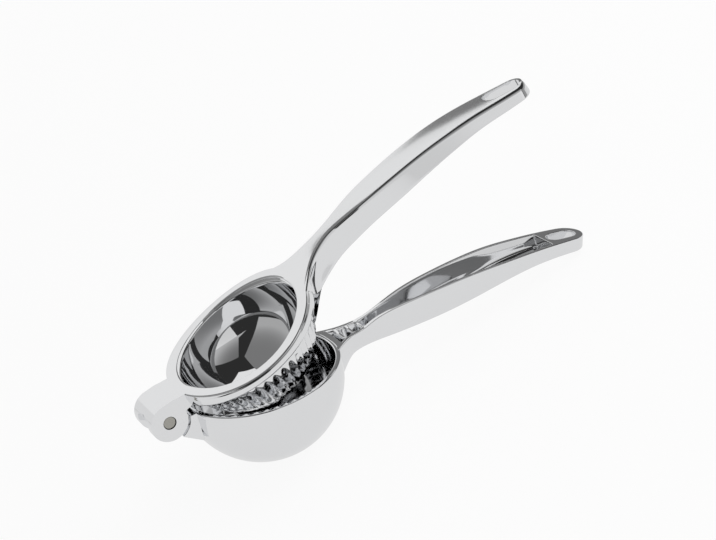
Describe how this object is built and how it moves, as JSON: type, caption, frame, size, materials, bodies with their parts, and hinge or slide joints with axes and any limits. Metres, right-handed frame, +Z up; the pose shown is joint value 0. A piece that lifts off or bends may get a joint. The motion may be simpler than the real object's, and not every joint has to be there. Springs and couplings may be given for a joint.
{
  "type": "hinged lemon squeezer",
  "caption": "Hand-held hinged squeezer whose fluted bowl presses half a citrus fruit into a drilled cup, with two channel-shaped handles.",
  "frame": {"origin": "on the table below the middle of the whole squeezer in its rest pose", "axes": "+X from the hinge towards the handles' tips, +Y along the hinge pin, +Z up"},
  "size_m": [0.2238, 0.074, 0.0939],
  "materials": {
    "lower_arm": "bright chrome on a smooth casting",
    "upper_arm": "bright chrome on a smooth casting, mirror polished in the bowl and finely brushed on the handle's crown",
    "hinge_pin": "matt ground pin ends"
  },
  "bodies": {
    "lower_arm": {"strainer_cup": "lower_arm", "hinge_knuckle": "lower_arm", "lower_handle": "lower_arm"},
    "upper_arm": {"press_bowl": "upper_arm", "hinge_fork": "upper_arm", "upper_handle": "upper_arm", "hinge_pin": "hinge_pin"}
  },
  "joints": [
    {"name": "hinge", "type": "hinge", "parent": "lower_arm", "child": "upper_arm", "pos_m": [-0.10343, 0, 0.0486], "axis": [0, -1, 0], "range_deg": [-15, 95]}
  ]
}
